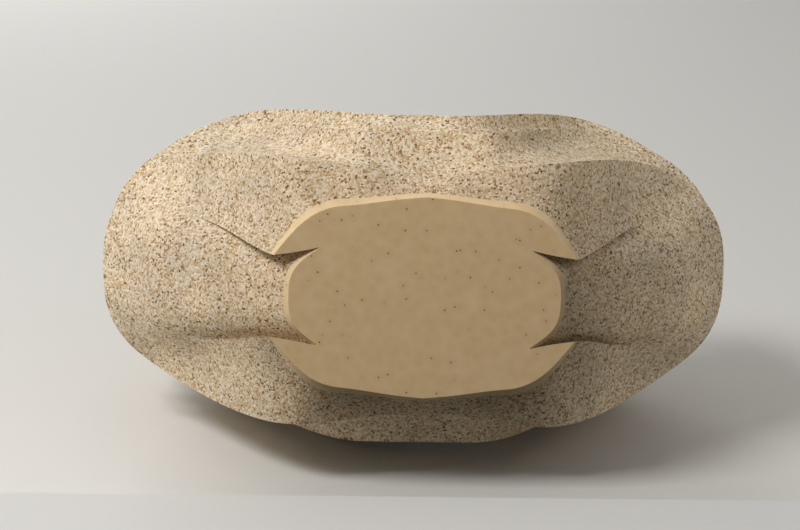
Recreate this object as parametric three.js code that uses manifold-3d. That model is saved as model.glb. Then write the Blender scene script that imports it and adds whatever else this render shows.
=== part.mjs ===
// A hand-built stoneware vase, long and narrow, with wave-like ridges running round its wall.
// Millimetres, +Z up. The origin is the middle of the flat foot. The long way of the vase is X and
// its broad sides face -Y (front) and +Y (back).
// The wall was built in courses of clay on a base slab, so each course is a solid of its own, and
// each meets the next on a flat scored joint. The rim coil sits on a waved joint.
import * as THREE from "three";
import { mergeVertices } from "three/addons/utils/BufferGeometryUtils.js";
import Module from "manifold-3d";

const wasm = await Module();
wasm.setup();

// Heights of the courses.
const SLAB_THICKNESS = 12;
const LOWER_COURSE_TOP = 44;
const BELLY_COURSE_TOP = 78;
const SLAB_SMOOTHED = 1; // the slab's inside face is wiped down this far below its joint
const RIM_JOINT_GAP = 0.3; // slip joint between the waved faces
const RIM_JOINT_SIDE = 94; // height of the rim joint in the middle of a broad side
const RIM_JOINT_END = 148; // height of the rim joint at the ends
const RIM_JOINT_RISE = [12, 92]; // where along X it starts to rise, and where it levels off

const WALL = 10; // least wall between a furrow and the hollow
const STEPS_ROUND = 80;
const STEPS_PER_FURROW = 5;
const FURROW_HOLLOW = 1.1; // how round a furrow is, against the distance between its ridges
const FURROW_DEPTH = 8; // the deepest that a furrow is drawn in from the straight line

// Each ridge is a closed wave round the wall. a and b are its half sizes along X and Y, square says
// how boxy its plan is, side and end are its heights in the middle of a broad side and at the ends,
// rise says where along X it lifts from one to the other, and pinch presses the broad sides in.
const UNDER = { a: 52, b: 26, square: 2.6, side: -18, end: -12, rise: [20, 50], pinch: 0 };
const END_PANEL = { a: 135, b: 40, square: 4.2, side: -14, end: 53, rise: [52, 124], pinch: 0, waist: 0.5 };
const FIRST_RIDGE = { a: 159, b: 72, square: 2.7, side: 10, end: 84, rise: [56, 142], pinch: 0.18 };
const SECOND_RIDGE = { a: 158, b: 79, square: 2.7, side: 29, end: 104, rise: [28, 104], pinch: 0.02 };
const THIRD_RIDGE = { a: 152, b: 83, square: 2.6, side: 52, end: 126, rise: [14, 96], pinch: 0 };
const FOURTH_RIDGE = { a: 142, b: 80, square: 2.5, side: 78, end: 147, rise: [10, 92], pinch: 0 };
const LIP = { a: 124, b: 69, square: 2.4, side: 112, end: 170, rise: [8, 90], pinch: 0.03 };
const LIP_INSIDE = { a: 114, b: 59, square: 2.4, side: 111, end: 169, rise: [8, 90], pinch: 0.03 };
const THROAT = { a: 104, b: 49, square: 2.4, side: 90, end: 148, rise: [8, 90], pinch: 0.03 };
const HOLLOW = { a: 136, b: 68, square: 2.6, side: 70, end: 96, rise: [8, 96], pinch: 0 };
const HOLLOW_LOW = { a: 104, b: 48, square: 2.6, side: 30, end: 48, rise: [20, 96], pinch: 0 };
const HOLLOW_FLOOR = {
  a: 60, b: 36, square: 2.4,
  side: SLAB_THICKNESS - SLAB_SMOOTHED, end: SLAB_THICKNESS - SLAB_SMOOTHED,
  rise: [0, 50], pinch: 0,
};
const PINCH_REACH = 62; // how far from the middle a broad side is pressed in
const WAIST_AT = 68; // where along X the end panels narrow down to the corners of the foot
const WAIST_REACH = 36; // how far along X the narrowing reaches

// 0 before from, 1 after to, and a smooth wave between them.
function lift(distance, [from, to]) {
  const t = Math.min(1, Math.max(0, (distance - from) / (to - from)));
  return t * t * (3 - 2 * t);
}

function ringPoint(ring, turn) {
  const c = Math.cos(turn);
  const s = Math.sin(turn);
  const power = 2 / ring.square;
  const x = ring.a * Math.sign(c) * Math.abs(c) ** power;
  const pressed = 1 - ring.pinch * Math.exp(-((x / PINCH_REACH) ** 2));
  const narrowed = 1 - (ring.waist ?? 0) * Math.exp(-(((Math.abs(x) - WAIST_AT) / WAIST_REACH) ** 2));
  const y = ring.b * Math.sign(s) * Math.abs(s) ** power * pressed * narrowed;
  const z = ring.side + (ring.end - ring.side) * lift(Math.abs(x), ring.rise);
  return new THREE.Vector3(x, y, z);
}

function ringPoints(ring) {
  return Array.from({ length: STEPS_ROUND }, (_, i) => ringPoint(ring, (2 * Math.PI * i) / STEPS_ROUND));
}

// The rows of points of a furrow between two ridges, drawn in towards the axis.
function furrow(lower, upper, hollow = FURROW_HOLLOW) {
  const from = ringPoints(lower);
  const to = ringPoints(upper);
  const rows = [];
  for (let step = 1; step <= STEPS_PER_FURROW; step += 1) {
    const t = step / STEPS_PER_FURROW;
    rows.push(from.map((start, i) => {
      const end = to[i];
      const point = start.clone().lerp(end, t);
      const depth = Math.min(hollow * start.distanceTo(end), 4 * FURROW_DEPTH) * t * (1 - t);
      const inwards = new THREE.Vector3(-point.x, -point.y, 0).normalize();
      return point.addScaledVector(inwards, depth);
    }));
  }
  return rows;
}

// A closed surface through rows of points, with a fan at each end.
function closedLoft(rows) {
  const positions = [];
  const average = (row) => row.reduce((sum, p) => sum.add(p), new THREE.Vector3()).divideScalar(row.length);
  const triangle = (a, b, c) => positions.push(a.x, a.y, a.z, b.x, b.y, b.z, c.x, c.y, c.z);
  const first = rows[0];
  const last = rows[rows.length - 1];
  const bottom = average(first);
  const top = average(last);
  for (let i = 0; i < STEPS_ROUND; i += 1) {
    const next = (i + 1) % STEPS_ROUND;
    triangle(bottom, first[next], first[i]);
    for (let row = 0; row < rows.length - 1; row += 1) {
      triangle(rows[row][i], rows[row][next], rows[row + 1][next]);
      triangle(rows[row][i], rows[row + 1][next], rows[row + 1][i]);
    }
    triangle(top, last[i], last[next]);
  }
  return new THREE.BufferGeometry().setAttribute("position", new THREE.Float32BufferAttribute(positions, 3));
}

function solidFrom(geometry) {
  const bare = (geometry.index ? geometry.toNonIndexed() : geometry.clone())
    .deleteAttribute("normal").deleteAttribute("uv");
  const merged = mergeVertices(bare, 1e-4);
  return new wasm.Manifold(new wasm.Mesh({
    numProp: 3,
    vertProperties: new Float32Array(merged.attributes.position.array),
    triVerts: new Uint32Array(merged.index.array),
  }));
}

function geometryFrom(solid) {
  const mesh = solid.getMesh();
  const vertices = new Float32Array(mesh.numVert * 3);
  for (let i = 0; i < mesh.numVert; i += 1) {
    vertices.set(mesh.vertProperties.subarray(i * mesh.numProp, i * mesh.numProp + 3), i * 3);
  }
  const geometry = new THREE.BufferGeometry()
    .setAttribute("position", new THREE.BufferAttribute(vertices, 3))
    .setIndex(new THREE.BufferAttribute(new Uint32Array(mesh.triVerts), 1));
  geometry.computeVertexNormals();
  return geometry;
}

// The whole vase as one wall, before it is parted into its courses.
function wholeVase() {
  const outside = [
    ringPoints(UNDER),
    ...furrow(UNDER, END_PANEL, 0.1),
    ...furrow(END_PANEL, FIRST_RIDGE, 0.22),
    ...furrow(FIRST_RIDGE, SECOND_RIDGE),
    ...furrow(SECOND_RIDGE, THIRD_RIDGE),
    ...furrow(THIRD_RIDGE, FOURTH_RIDGE, 0.8),
    ...furrow(FOURTH_RIDGE, LIP, 0.3),
  ];
  const inside = [LIP_INSIDE, THROAT, HOLLOW, HOLLOW_LOW, HOLLOW_FLOOR].map(ringPoints);
  return solidFrom(closedLoft([...outside, ...inside]));
}

const REACH = 400; // past every side of the vase

// Everything between two heights.
function slice(solid, low, high) {
  const box = new THREE.BoxGeometry(REACH, REACH, high - low).translate(0, 0, (low + high) / 2);
  return solid.intersect(solidFrom(box));
}

// Everything above the waved rim joint, with its face lowered by a gap.
function aboveRimJoint(gap) {
  const shape = new THREE.Shape();
  const steps = 48;
  for (let i = 0; i <= steps; i += 1) {
    const x = REACH * (i / steps - 0.5);
    const height = RIM_JOINT_SIDE + (RIM_JOINT_END - RIM_JOINT_SIDE) * lift(Math.abs(x), RIM_JOINT_RISE) - gap;
    if (i === 0) shape.moveTo(x, height);
    else shape.lineTo(x, height);
  }
  shape.lineTo(REACH / 2, REACH);
  shape.lineTo(-REACH / 2, REACH);
  const block = new THREE.ExtrudeGeometry(shape, { depth: REACH, bevelEnabled: false });
  block.rotateX(Math.PI / 2).translate(0, REACH / 2, 0);
  return solidFrom(block);
}

const vase = wholeVase();
const sandGlaze = new THREE.MeshStandardMaterial({ color: 0xcdb899, roughness: 0.85, metalness: 0 });
const bareClay = new THREE.MeshStandardMaterial({ color: 0xe9d6b4, roughness: 0.75, metalness: 0 });

const pieces = [
  ["foot_slab", slice(vase, 0, SLAB_THICKNESS), bareClay],
  ["lower_wall", slice(vase, SLAB_THICKNESS, LOWER_COURSE_TOP), sandGlaze],
  ["belly_wall", slice(vase, LOWER_COURSE_TOP, BELLY_COURSE_TOP), sandGlaze],
  ["upper_wall", slice(vase, BELLY_COURSE_TOP, REACH).subtract(aboveRimJoint(RIM_JOINT_GAP)), sandGlaze],
  ["rim_coil", vase.intersect(aboveRimJoint(0)), sandGlaze],
];

const group = new THREE.Group();
for (const [name, solid, material] of pieces) {
  const mesh = new THREE.Mesh(geometryFrom(solid), material);
  mesh.name = name;
  group.add(mesh);
}

export default group;
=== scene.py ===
# %% [markdown]
# # A wave-ridged stoneware vase
# The vase stands upright in the frame. The camera looks up at its foot, and the table is tilted
# to touch the vase's back. This first cell loads the frame.

# %% Frame
import math
from typing import NamedTuple

import bmesh
import bpy
from mathutils import Matrix, Vector


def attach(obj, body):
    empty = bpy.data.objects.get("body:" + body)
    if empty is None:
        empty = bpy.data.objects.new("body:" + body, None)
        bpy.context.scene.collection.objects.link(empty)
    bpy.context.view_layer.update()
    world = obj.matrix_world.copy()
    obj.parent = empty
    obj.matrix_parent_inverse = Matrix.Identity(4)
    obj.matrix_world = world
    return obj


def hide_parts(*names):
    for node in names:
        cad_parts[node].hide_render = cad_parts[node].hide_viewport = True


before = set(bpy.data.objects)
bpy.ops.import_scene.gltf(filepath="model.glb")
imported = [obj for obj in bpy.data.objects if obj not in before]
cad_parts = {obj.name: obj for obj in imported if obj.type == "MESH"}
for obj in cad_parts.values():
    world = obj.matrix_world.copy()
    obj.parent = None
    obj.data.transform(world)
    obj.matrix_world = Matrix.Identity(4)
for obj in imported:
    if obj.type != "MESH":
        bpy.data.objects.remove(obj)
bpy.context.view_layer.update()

MM = 0.001  # every size is written in millimetres and turned to metres

# %% [markdown]
# The wall follows a set of closed rings. On the outside each ring is the crest of a ridge, which
# lifts like a wave from the middle of the broad sides to the two ends.

# %% Rings


class Ring(NamedTuple):
    """One closed wave round the vase, in millimetres."""
    half_long: float  # half size along X
    half_deep: float  # half size along Y
    square: float  # how boxy its plan is, where 2 is an ellipse
    side: float  # height in the middle of a broad side
    end: float  # height at the ends
    rise_from: float  # where along X it starts to lift
    rise_to: float  # where along X it has lifted fully
    pinch: float = 0.0  # how far the middle of the broad sides is pressed in
    waist: float = 0.0  # how far it narrows towards the corners of the foot


UNDER = Ring(52, 26, 2.6, -18, -12, 20, 50)
END_PANEL = Ring(135, 40, 4.2, -14, 53, 52, 124, waist=0.5)
FIRST_RIDGE = Ring(159, 72, 2.7, 10, 84, 56, 142, pinch=0.18)
SECOND_RIDGE = Ring(158, 79, 2.7, 29, 104, 28, 104, pinch=0.02)
THIRD_RIDGE = Ring(152, 83, 2.6, 52, 126, 14, 96)
FOURTH_RIDGE = Ring(142, 80, 2.5, 78, 147, 10, 92)
LIP = Ring(124, 69, 2.4, 112, 170, 8, 90, pinch=0.03)
LIP_INSIDE = Ring(114, 59, 2.4, 111, 169, 8, 90, pinch=0.03)
THROAT = Ring(104, 49, 2.4, 90, 148, 8, 90, pinch=0.03)
HOLLOW = Ring(136, 68, 2.6, 70, 96, 8, 96)
HOLLOW_LOW = Ring(104, 48, 2.6, 30, 48, 20, 96)
HOLLOW_FLOOR = Ring(60, 36, 2.4, 11, 11, 0, 50)

PINCH_REACH = 62
WAIST_AT = 68
WAIST_REACH = 36
STEPS_ROUND = 360
WITHIN = 0.996  # leaves room for the sand coat inside the overall size


def signed_power(value, power):
    return math.copysign(abs(value) ** power, value)


def lift(distance, start, stop):
    """0 before start, 1 after stop, and a smooth wave between them."""
    t = min(1, max(0, (distance - start) / (stop - start)))
    return t * t * (3 - 2 * t)


def ring_points(ring):
    points = []
    for i in range(STEPS_ROUND):
        turn = 2 * math.pi * i / STEPS_ROUND
        x = ring.half_long * signed_power(math.cos(turn), 2 / ring.square)
        pressed = 1 - ring.pinch * math.exp(-((x / PINCH_REACH) ** 2))
        narrowed = 1 - ring.waist * math.exp(-(((abs(x) - WAIST_AT) / WAIST_REACH) ** 2))
        y = ring.half_deep * signed_power(math.sin(turn), 2 / ring.square) * pressed * narrowed
        z = ring.side + (ring.end - ring.side) * lift(abs(x), ring.rise_from, ring.rise_to)
        points.append(Vector((x, y, z)) * MM * WITHIN)
    return points


print("widest ring", max(p.x for p in ring_points(FIRST_RIDGE)))

# %% [markdown]
# Between two ridges the wall is drawn in to a rounded furrow. Inside the vase it runs straight
# from ring to ring, down to the floor.

# %% Rows of points
FURROWS = [  # the ridge that each furrow climbs to, and how round the furrow is
    (END_PANEL, 0.1),
    (FIRST_RIDGE, 0.22),
    (SECOND_RIDGE, 1.1),
    (THIRD_RIDGE, 1.1),
    (FOURTH_RIDGE, 0.8),
    (LIP, 0.3),
]
INSIDE = [LIP_INSIDE, THROAT, HOLLOW, HOLLOW_LOW, HOLLOW_FLOOR]
FURROW_DEPTH = 8 * MM  # the deepest that a furrow is drawn in
ROWS_PER_FURROW = 12
ROWS_INSIDE = 6


def rows_between(lower, upper, roundness, count):
    made = []
    for step in range(1, count + 1):
        t = step / count
        row = []
        for start, stop in zip(lower, upper):
            point = start.lerp(stop, t)
            inward = Vector((-point.x, -point.y, 0)).normalized()
            drawn = min(roundness * (stop - start).length, 4 * FURROW_DEPTH)
            row.append(point + inward * (drawn * t * (1 - t)))
        made.append(row)
    return made


rows = [ring_points(UNDER)]
for ridge, roundness in FURROWS:
    rows += rows_between(rows[-1], ring_points(ridge), roundness, ROWS_PER_FURROW)
for ring in INSIDE:
    rows += rows_between(rows[-1], ring_points(ring), 0, ROWS_INSIDE)
print("rows", len(rows), "points in each", STEPS_ROUND)

# %% [markdown]
# The rows become one closed skin. It is parted just above the flat foot, because the foot is
# bare clay and the rest carries the sand coat.

# %% Skins
FOOT_EDGE = 2 * MM  # height where the bare clay ends
CREASE_ANGLE = math.radians(20)
CUT_TOLERANCE = 1e-7
WELD_DISTANCE = 1e-6


def link(thing):
    bpy.context.scene.collection.objects.link(thing)
    return thing


def trim(bm, height, keep_above):
    """Cuts the skin level and closes the cut."""
    cut = bmesh.ops.bisect_plane(
        bm, geom=bm.verts[:] + bm.edges[:] + bm.faces[:], dist=CUT_TOLERANCE,
        plane_co=(0, 0, height), plane_no=(0, 0, 1),
        clear_inner=keep_above, clear_outer=not keep_above)
    edges = [e for e in cut["geom_cut"] if isinstance(e, bmesh.types.BMEdge)]
    bmesh.ops.holes_fill(bm, edges=edges, sides=0)


def skin(name, bottom, top=None):
    bm = bmesh.new()
    grid = [[bm.verts.new(p) for p in row] for row in rows]
    for lower, upper in zip(grid, grid[1:]):
        for i in range(STEPS_ROUND):
            j = (i + 1) % STEPS_ROUND
            bm.faces.new((lower[i], lower[j], upper[j], upper[i]))
    bm.faces.new(list(reversed(grid[0])))
    bm.faces.new(grid[-1])
    trim(bm, bottom, keep_above=True)
    if top is not None:
        trim(bm, top, keep_above=False)
    bmesh.ops.remove_doubles(bm, verts=bm.verts[:], dist=WELD_DISTANCE)
    bmesh.ops.triangulate(bm, faces=[f for f in bm.faces if len(f.verts) > 4])
    bmesh.ops.recalc_face_normals(bm, faces=bm.faces[:])
    mesh = bpy.data.meshes.new(name)
    bm.to_mesh(mesh)
    bm.free()
    mesh.shade_smooth()
    mesh.set_sharp_from_angle(angle=CREASE_ANGLE)
    print(name, len(mesh.vertices), "points")
    return link(bpy.data.objects.new(name, mesh))


body = skin("sand_glazed_body", bottom=FOOT_EDGE)
foot = skin("bare_clay_foot", bottom=0, top=FOOT_EDGE)

# %% [markdown]
# These few helpers make every material. Colours are sRGB hex, turned to linear in one place.

# %% Material helpers


def linear(hex_colour):
    channels = [int(hex_colour[i:i + 2], 16) / 255 for i in (1, 3, 5)]
    return tuple(c / 12.92 if c <= 0.04045 else ((c + 0.055) / 1.055) ** 2.4 for c in channels) + (1,)


def add(tree, kind, settings=None, links=None):
    """Adds a node, sets its inputs or properties, and links its inputs to other nodes' outputs."""
    node = tree.nodes.new(kind)
    for key, value in (settings or {}).items():
        if key in node.inputs:
            node.inputs[key].default_value = value
        else:
            setattr(node, key, value)
    for key, source in (links or {}).items():
        tree.links.new(source, node.inputs[key])
    return node


def colour_ramp(tree, source, stops):
    """Colours a value between 0 and 1. The stops are pairs of a position and a hex colour."""
    node = add(tree, "ShaderNodeValToRGB", links={"Fac": source})
    elements = node.color_ramp.elements
    for element, (position, colour) in ((elements[0], stops[0]), (elements[1], stops[-1])):
        element.position = position
        element.color = linear(colour)
    for position, colour in stops[1:-1]:
        elements.new(position).color = linear(colour)
    return node.outputs["Color"]


def new_material(name, roughness):
    material = bpy.data.materials.new(name)
    material.use_nodes = True
    tree = material.node_tree
    shader = tree.nodes["Principled BSDF"]
    shader.inputs["Roughness"].default_value = roughness
    return material, tree, shader


def object_place(tree):
    return add(tree, "ShaderNodeTexCoord").outputs["Object"]


print("colour check", linear("#808080"))

# %% [markdown]
# The wall is coarse sand held in a matt glaze. Every grain has a colour of its own, from
# off-white to dark brown, and a slow drift makes some patches a little greyer.

# %% Sand glaze
GRAIN = 0.95 * MM  # width of a grain
GRAIN_RELIEF = 0.35 * MM
DRIFT = 30 * MM  # width of a patch of one tone
CERAMIC_SPECULAR = 0.25
GRAIN_COLOURS = [
    (0.0, "#6a5a4a"),
    (0.06, "#a98c66"),
    (0.2, "#cdb592"),
    (0.55, "#e0d2ba"),
    (1.0, "#f6f0e4"),
]
PATCH_TONES = [(0.3, "#e6e2dc"), (0.7, "#fff8ec")]


def sand_glaze():
    material, tree, shader = new_material("sand_glaze", roughness=0.85)
    shader.inputs["Specular IOR Level"].default_value = CERAMIC_SPECULAR
    place = object_place(tree)
    grains = add(tree, "ShaderNodeTexVoronoi", {"Scale": 1 / GRAIN}, {"Vector": place})
    pick = add(tree, "ShaderNodeSeparateColor", links={"Color": grains.outputs["Color"]})
    grain_colour = colour_ramp(tree, pick.outputs["Red"], GRAIN_COLOURS)
    patches = add(tree, "ShaderNodeTexNoise", {"Scale": 1 / DRIFT, "Detail": 3.0}, {"Vector": place})
    patch_tone = colour_ramp(tree, patches.outputs["Fac"], PATCH_TONES)
    mixed = add(tree, "ShaderNodeMix", {"data_type": "RGBA", "blend_type": "MULTIPLY"})
    factor, first, second = mixed.inputs[0], mixed.inputs[6], mixed.inputs[7]
    factor.default_value = 1.0
    tree.links.new(grain_colour, first)
    tree.links.new(patch_tone, second)
    tree.links.new(mixed.outputs[2], shader.inputs["Base Color"])
    relief = add(tree, "ShaderNodeBump", {"Strength": 0.5, "Distance": GRAIN_RELIEF, "invert": True},
                 {"Height": grains.outputs["Distance"]})
    tree.links.new(relief.outputs["Normal"], shader.inputs["Normal"])
    return material


sand = sand_glaze()
body.data.materials.append(sand)
print("material", sand.name)

# %% [markdown]
# The foot is smooth cream clay without glaze, with a few dark pinholes and a fine tooth.

# %% Bare clay
PINHOLE_SPACING = 5 * MM
CLAY_TOOTH = 1.2 * MM  # width of the fine unevenness
CLAY_RELIEF = 0.1 * MM
PINHOLE_COLOURS = [(0.05, "#6b5a45"), (0.09, "#e6cfa8"), (1.0, "#ecd8b5")]


def bare_clay():
    material, tree, shader = new_material("bare_clay", roughness=0.7)
    shader.inputs["Specular IOR Level"].default_value = CERAMIC_SPECULAR
    place = object_place(tree)
    holes = add(tree, "ShaderNodeTexVoronoi", {"Scale": 1 / PINHOLE_SPACING}, {"Vector": place})
    tree.links.new(colour_ramp(tree, holes.outputs["Distance"], PINHOLE_COLOURS),
                   shader.inputs["Base Color"])
    tooth = add(tree, "ShaderNodeTexNoise", {"Scale": 1 / CLAY_TOOTH, "Detail": 4.0}, {"Vector": place})
    relief = add(tree, "ShaderNodeBump", {"Strength": 0.25, "Distance": CLAY_RELIEF},
                 {"Height": tooth.outputs["Fac"]})
    tree.links.new(relief.outputs["Normal"], shader.inputs["Normal"])
    return material


clay = bare_clay()
foot.data.materials.append(clay)
print("material", clay.name)

# %% [markdown]
# Some grains stand proud of the coat. A node tree scatters them over the skin, half sunk in it,
# and gives each a size of its own. The seed is fixed.

# %% Grit nodes
GRIT_RADIUS = 0.45 * MM
GRIT_SMALLEST = 0.6  # against the radius
GRIT_LARGEST = 1.2
GRIT_PER_SQUARE_METRE = 24000.0
GRIT_SEED = 7


def grit_tree(material):
    """Returns the node tree, and the identifiers of its density and seed inputs."""
    tree = bpy.data.node_groups.new("scattered_grit", "GeometryNodeTree")

    def socket(name, kind, way="INPUT"):
        return tree.interface.new_socket(name, in_out=way, socket_type=kind).identifier

    socket("Geometry", "NodeSocketGeometry")
    density = socket("Grains per square metre", "NodeSocketFloat")
    seed = socket("Seed", "NodeSocketInt")
    socket("Geometry", "NodeSocketGeometry", "OUTPUT")
    given = tree.nodes.new("NodeGroupInput").outputs
    scatter = add(tree, "GeometryNodeDistributePointsOnFaces", links={
        "Mesh": given["Geometry"],
        "Density": given["Grains per square metre"],
        "Seed": given["Seed"],
    })
    grain = add(tree, "GeometryNodeMeshIcoSphere", {"Radius": GRIT_RADIUS, "Subdivisions": 1})
    size = add(tree, "FunctionNodeRandomValue", {"data_type": "FLOAT"}, {"Seed": given["Seed"]})
    least, most = size.inputs[2], size.inputs[3]
    least.default_value = GRIT_SMALLEST
    most.default_value = GRIT_LARGEST
    placed = add(tree, "GeometryNodeInstanceOnPoints", links={
        "Points": scatter.outputs["Points"],
        "Instance": grain.outputs["Mesh"],
        "Rotation": scatter.outputs["Rotation"],
        "Scale": size.outputs[1],
    })
    real = add(tree, "GeometryNodeRealizeInstances", links={"Geometry": placed.outputs["Instances"]})
    painted = add(tree, "GeometryNodeSetMaterial", {"Material": material},
                  {"Geometry": real.outputs["Geometry"]})
    result = tree.nodes.new("NodeGroupOutput")
    tree.links.new(painted.outputs["Geometry"], result.inputs["Geometry"])
    return tree, density, seed


grit_nodes, density_input, seed_input = grit_tree(sand)
print("grit nodes", len(grit_nodes.nodes))

# %% [markdown]
# The tree runs on a carrier that shares the body's mesh. Its result is kept as a plain mesh, and
# the carrier goes.

# %% Grit
carrier = link(bpy.data.objects.new("grit_source", body.data))
modifier = carrier.modifiers.new("grit", "NODES")
modifier.node_group = grit_nodes
modifier[density_input] = GRIT_PER_SQUARE_METRE
modifier[seed_input] = GRIT_SEED
ready = carrier.evaluated_get(bpy.context.evaluated_depsgraph_get())
grit = link(bpy.data.objects.new("coarse_grit", bpy.data.meshes.new_from_object(ready)))
bpy.data.objects.remove(carrier)
print("grit faces", len(grit.data.polygons))

# %% [markdown]
# The skins stand for the solids of the frame. Nothing moves, so all of them ride the one body.

# %% Pieces
for piece, slot_name in ((body, "sand_glaze"), (grit, "sand_glaze"), (foot, "bare_clay")):
    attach(piece, "root")
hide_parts("lower_wall", "belly_wall", "upper_wall", "rim_coil")
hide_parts("foot_slab")
print("pieces", [p.name for p in (body, grit, foot)])

# %% [markdown]
# The vase rests on its back for the picture, so a pale table touches its back. Another lies under
# the foot for views from above. Each shows only from its own upper side, and casts no shadow.

# %% Tables
TABLE_TILT = math.radians(9.9)  # how far the table leans from the vase's broad side
TABLE_HALF = 8  # metres
CLEAR_OF_BACK = 0.4 * MM
CLEAR_OF_FOOT = 0.2 * MM


def pale_table():
    """Matt pale board, clear from behind."""
    material, tree, shader = new_material("pale_table", roughness=0.9)
    shader.inputs["Base Color"].default_value = linear("#d9d7d3")
    clear = add(tree, "ShaderNodeBsdfTransparent")
    behind = add(tree, "ShaderNodeNewGeometry").outputs["Backfacing"]
    both = add(tree, "ShaderNodeMixShader", links={0: behind, 1: shader.outputs[0], 2: clear.outputs[0]})
    tree.links.new(both.outputs[0], tree.nodes["Material Output"].inputs["Surface"])
    return material


def table(name, normal, point, material):
    across = Vector((1, 0, 0)) * TABLE_HALF
    along = normal.cross(across)
    corners = [
        point - across - along,
        point + across - along,
        point + across + along,
        point - across + along,
    ]
    mesh = bpy.data.meshes.new(name)
    mesh.from_pydata(corners, [], [(0, 1, 2, 3)])
    mesh.materials.append(material)
    surface = link(bpy.data.objects.new(name, mesh))
    surface.visible_shadow = False
    print(name, "faces", [round(c, 2) for c in mesh.polygons[0].normal])


board = pale_table()
off_the_back = Vector((0, -math.cos(TABLE_TILT), -math.sin(TABLE_TILT)))
touching = min(off_the_back.dot(v.co) for v in body.data.vertices)
table("table_behind", off_the_back, off_the_back * (touching - CLEAR_OF_BACK), board)
table("table_below", Vector((0, 0, 1)), Vector((0, 0, -CLEAR_OF_FOOT)), board)

# %% [markdown]
# A soft key light comes from the upper left of the picture, and a weak one fills from the right.
# A third lights the vase from above its mouth. The places are in metres.

# %% Light
LIT_POINT = Vector((0, 0, 0.08))
ROOM_STRENGTH = 0.42

world = bpy.data.worlds.new("studio")
world.use_nodes = True
room = world.node_tree.nodes["Background"]
room.inputs["Color"].default_value = linear("#e8e8e8")
room.inputs["Strength"].default_value = ROOM_STRENGTH
bpy.context.scene.world = world


def soft_light(name, place, watts, width):
    lamp = bpy.data.lights.new(name, "AREA")
    lamp.energy = watts
    lamp.size = width
    holder = link(bpy.data.objects.new(name, lamp))
    holder.location = place
    holder.rotation_euler = (LIT_POINT - Vector(place)).to_track_quat("-Z", "Y").to_euler()
    print(name, watts, "W")


soft_light("key", (-0.9, -1.1, -0.5), watts=14, width=0.5)
soft_light("fill", (1.1, -0.9, -0.8), watts=2, width=0.8)
soft_light("above", (-0.5, -0.6, 1.5), watts=8, width=0.8)

# %% [markdown]
# The camera stands below the foot, a little to the left and to the front, as for the photograph.
# The small shifts put the middle of the foot where it lies in the picture.

# %% Camera
PICTURE_WIDTH = 800  # pixels
FOOT_RIGHT_OF_MIDDLE = 25  # pixels
FOOT_BELOW_MIDDLE = 33.5  # pixels
CAMERA_DISTANCE = 1.3  # metres from the foot
CAMERA_LEFT = math.radians(3.6)
CAMERA_FRONT = math.radians(10)
CAMERA_ROLL = math.radians(1.5)
LENS = 122  # millimetres, on a sensor 36 mm wide

toward = Vector((-math.tan(CAMERA_LEFT), -math.tan(CAMERA_FRONT), -1)).normalized()
level_right = Vector((0, -1, 0)).cross(toward).normalized()
level_up = toward.cross(level_right)
upward = level_up * math.cos(CAMERA_ROLL) - level_right * math.sin(CAMERA_ROLL)
right = level_right * math.cos(CAMERA_ROLL) + level_up * math.sin(CAMERA_ROLL)

lens = bpy.data.cameras.new("camera")
lens.lens = LENS
lens.sensor_width = 36
lens.shift_x = -FOOT_RIGHT_OF_MIDDLE / PICTURE_WIDTH
lens.shift_y = FOOT_BELOW_MIDDLE / PICTURE_WIDTH
lens.clip_end = 50
camera = link(bpy.data.objects.new("camera", lens))
facing = Matrix((right, upward, toward)).transposed().to_4x4()
camera.matrix_world = Matrix.Translation(toward * CAMERA_DISTANCE) @ facing
bpy.context.scene.camera = camera
bpy.context.scene.view_settings.view_transform = "Standard"
print("camera", [round(v, 3) for v in camera.matrix_world.translation])
